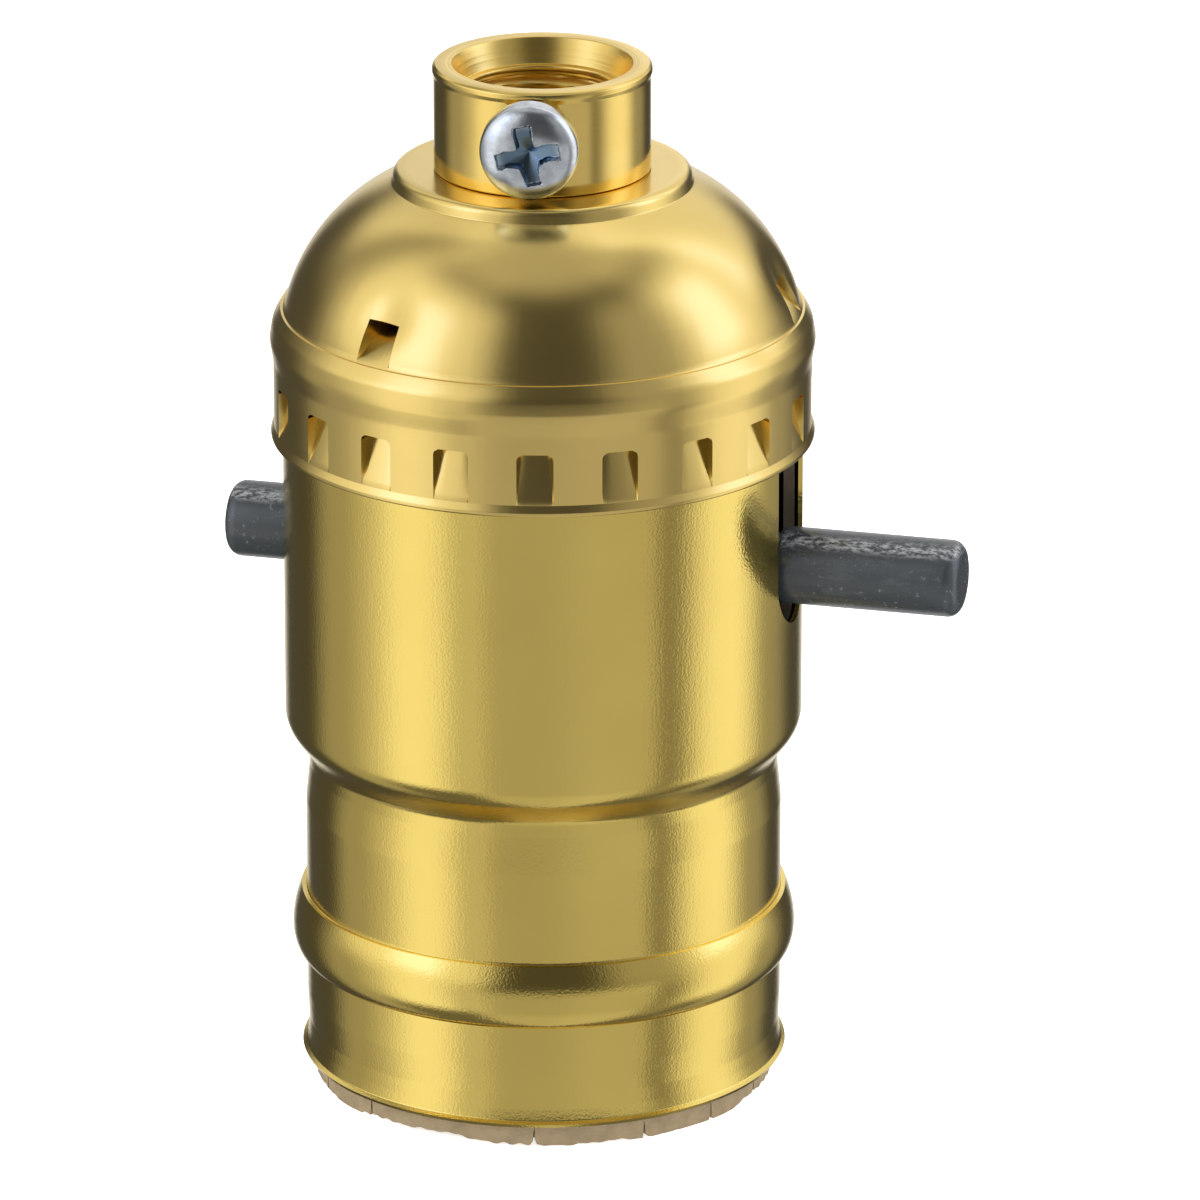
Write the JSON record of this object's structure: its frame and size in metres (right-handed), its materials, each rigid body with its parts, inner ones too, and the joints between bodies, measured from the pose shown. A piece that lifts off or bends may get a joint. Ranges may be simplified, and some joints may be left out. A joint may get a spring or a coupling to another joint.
{
  "type": "lamp holder",
  "caption": "Push-through lamp holder: gold metal cap and shell, threaded stem collar with set screw, sliding switch bar, screw-in lamp socket.",
  "frame": {"origin": "on the axis, in the plane of the lamp thread's mouth", "axes": "+Z along the axis from the lamp side to the stem collar, +X along the push bar towards its longer end"},
  "size_m": [0.048, 0.0348, 0.0674],
  "materials": {
    "anodised_cap": "satin gold anodised, fine brushed rings",
    "anodised_shell": "satin gold anodised, fine drawn grain",
    "turned_brass": "turned, polished",
    "contact_brass": "plain stamped",
    "zinc_plate": "bright zinc plated",
    "black_plastic": "satin, slightly scuffed",
    "phenolic": "moulded phenolic",
    "fibre": "rolled vulcanised fibre, worn edge",
    "spring_steel": "spring temper"
  },
  "bodies": {
    "holder": {"cap": "anodised_cap", "shell": "anodised_shell", "shell_liner": "fibre", "collar": "turned_brass", "set_screw": "zinc_plate", "switch_body": "phenolic", "switch_cover": "phenolic", "screw_shell": "contact_brass", "insulating_disc": "fibre", "centre_contact": "contact_brass", "centre_rivet": "contact_brass", "front_shell_rivet": "contact_brass", "back_shell_rivet": "contact_brass", "load_contact": "contact_brass", "feed_contact": "contact_brass", "neutral_strap": "contact_brass", "detent_spring": "spring_steel", "line_terminal": "contact_brass", "line_terminal_screw": "contact_brass", "neutral_terminal": "zinc_plate", "neutral_terminal_screw": "zinc_plate"},
    "pusher": {"push_bar": "black_plastic", "moving_contact": "contact_brass"}
  },
  "joints": [
    {"name": "bar_slide", "type": "slide", "parent": "holder", "child": "pusher", "axis": [1, 0, 0], "range_m": [-0.0068, 0]}
  ]
}
